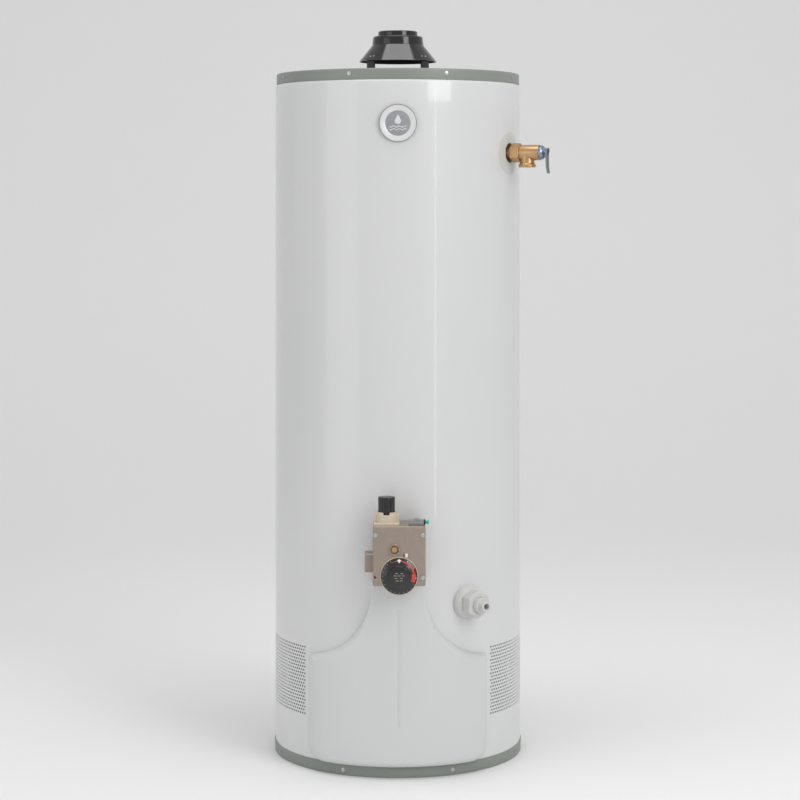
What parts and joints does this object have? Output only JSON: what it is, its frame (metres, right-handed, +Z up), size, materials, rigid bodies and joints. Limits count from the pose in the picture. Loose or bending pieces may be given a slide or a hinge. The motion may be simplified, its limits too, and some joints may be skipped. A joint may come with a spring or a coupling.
{
  "type": "tank water heater",
  "caption": "Tall round gas storage water heater with a draft hood, control valve, relief valve, drain and pull-off door.",
  "frame": {"origin": "where the tank's axis meets the floor, on the base pan's foot", "axes": "+Z up along the tank's axis, the control valve and the door face -Y, +X to the right seen from the front"},
  "size_m": [0.5617, 0.6092, 1.487],
  "materials": {
    "grey_paint": "satin",
    "white_paint": "gloss",
    "zinc": "satin",
    "foam": "matte",
    "tank_steel": "matte",
    "white_plastic": "matte",
    "bare_aluminium": "satin",
    "brass": "satin",
    "spring_steel": "satin",
    "lever_steel": "satin",
    "warm_grey_plastic": "satin",
    "valve_casting": "satin",
    "black_plastic": "gloss",
    "tan_plastic": "satin",
    "grey_plastic": "satin",
    "teal_plastic": "gloss",
    "copper": "satin",
    "red_wire": "satin",
    "gasket": "matte",
    "black_steel": "satin",
    "glass": "gloss",
    "black_enamel": "gloss",
    "silver_plastic": "satin"
  },
  "bodies": {
    "root": {"base_pan": "grey_paint", "top_pan": "grey_paint", "base_screws": "zinc", "top_screws": "zinc", "jacket": "white_paint", "foam_insulation": "foam", "tank_shell": "tank_steel", "tank_top_head": "tank_steel", "tank_bottom_head": "tank_steel", "flue_tube": "tank_steel", "flue_baffle": "tank_steel", "cold_inlet_nipple": "zinc", "hot_outlet_nipple": "zinc", "dip_tube": "white_plastic", "anode_rod": "bare_aluminium", "relief_valve_body": "brass", "relief_probe": "brass", "relief_spring": "spring_steel", "relief_valve_cap": "lever_steel", "lever_pin": "lever_steel", "relief_seal_ring": "white_plastic", "drain_valve_body": "warm_grey_plastic", "drain_escutcheon": "warm_grey_plastic", "gas_valve_body": "valve_casting", "gas_valve_cover": "valve_casting", "test_port_plug": "valve_casting", "valve_screws": "zinc", "thermostat_probe": "brass", "dial_bezel": "valve_casting", "dial_index": "white_plastic", "knob_collar": "tan_plastic", "igniter_body": "grey_plastic", "igniter_collar": "black_plastic", "igniter_clip": "spring_steel", "manifold_tube": "bare_aluminium", "pilot_tube": "bare_aluminium", "thermocouple_lead": "copper", "igniter_lead": "red_wire", "burner": "tank_steel", "pilot_assembly": "zinc", "flame_arrestor": "bare_aluminium", "inner_door_gasket": "gasket", "inner_door": "black_steel", "sight_glass": "glass", "inner_door_screws": "zinc", "draft_hood": "black_enamel", "hood_legs": "black_enamel", "hood_rivets": "zinc", "badge_ring": "silver_plastic", "badge_medallion": "silver_plastic"},
    "outer_door": {"outer_door": "white_paint"},
    "temperature_dial": {"temperature_dial": "black_plastic"},
    "gas_knob_stem": {"gas_knob_stem": "brass"},
    "gas_knob": {"gas_knob": "black_plastic"},
    "igniter_button": {"igniter_button": "teal_plastic"},
    "relief_lever": {"relief_lever": "lever_steel"},
    "relief_stem": {"relief_stem": "brass"},
    "drain_handle": {"drain_handle": "warm_grey_plastic"}
  },
  "joints": [
    {"name": "outer_door_pull", "type": "slide", "parent": "root", "child": "outer_door", "axis": [0, -1, 0], "range_m": [0, 0.25]},
    {"name": "dial_turn", "type": "hinge", "parent": "root", "child": "temperature_dial", "pos_m": [0.0025, -0.345, 0.412], "axis": [0, -1, 0], "range_deg": [-180, 90]},
    {"name": "gas_knob_press", "type": "slide", "parent": "root", "child": "gas_knob_stem", "axis": [0, 0, -1], "range_m": [0, 0.004], "stiffness_N_per_m": 600, "springref_m": -0.005},
    {"name": "gas_knob_turn", "type": "hinge", "parent": "gas_knob_stem", "child": "gas_knob", "pos_m": [-0.022, -0.303, 0.545], "axis": [0, 0, 1], "range_deg": [-90, 90]},
    {"name": "igniter_press", "type": "slide", "parent": "root", "child": "igniter_button", "axis": [-1, 0, 0], "range_m": [0, 0.0035], "stiffness_N_per_m": 800, "springref_m": -0.002},
    {"name": "relief_lever_lift", "type": "hinge", "parent": "root", "child": "relief_lever", "pos_m": [0.29884, -0.15358, 1.2364], "axis": [-0.4571, -0.8894, 0], "range_deg": [0, 90], "stiffness_Nm_per_rad": 0.02, "springref_deg": -17.19},
    {"name": "relief_stem_slide", "type": "slide", "parent": "root", "child": "relief_stem", "axis": [0.8894, -0.4571, 0], "range_m": [0, 0.003]},
    {"name": "drain_handle_turn", "type": "hinge", "parent": "root", "child": "drain_handle", "pos_m": [0.15291, -0.23456, 0.339], "axis": [0.5461, -0.8377, 0], "range_deg": [0, 450]}
  ],
  "couplings": [
    {"joint": "relief_stem_slide", "follows": "relief_lever_lift", "m_per_rad": 0.0019}
  ]
}
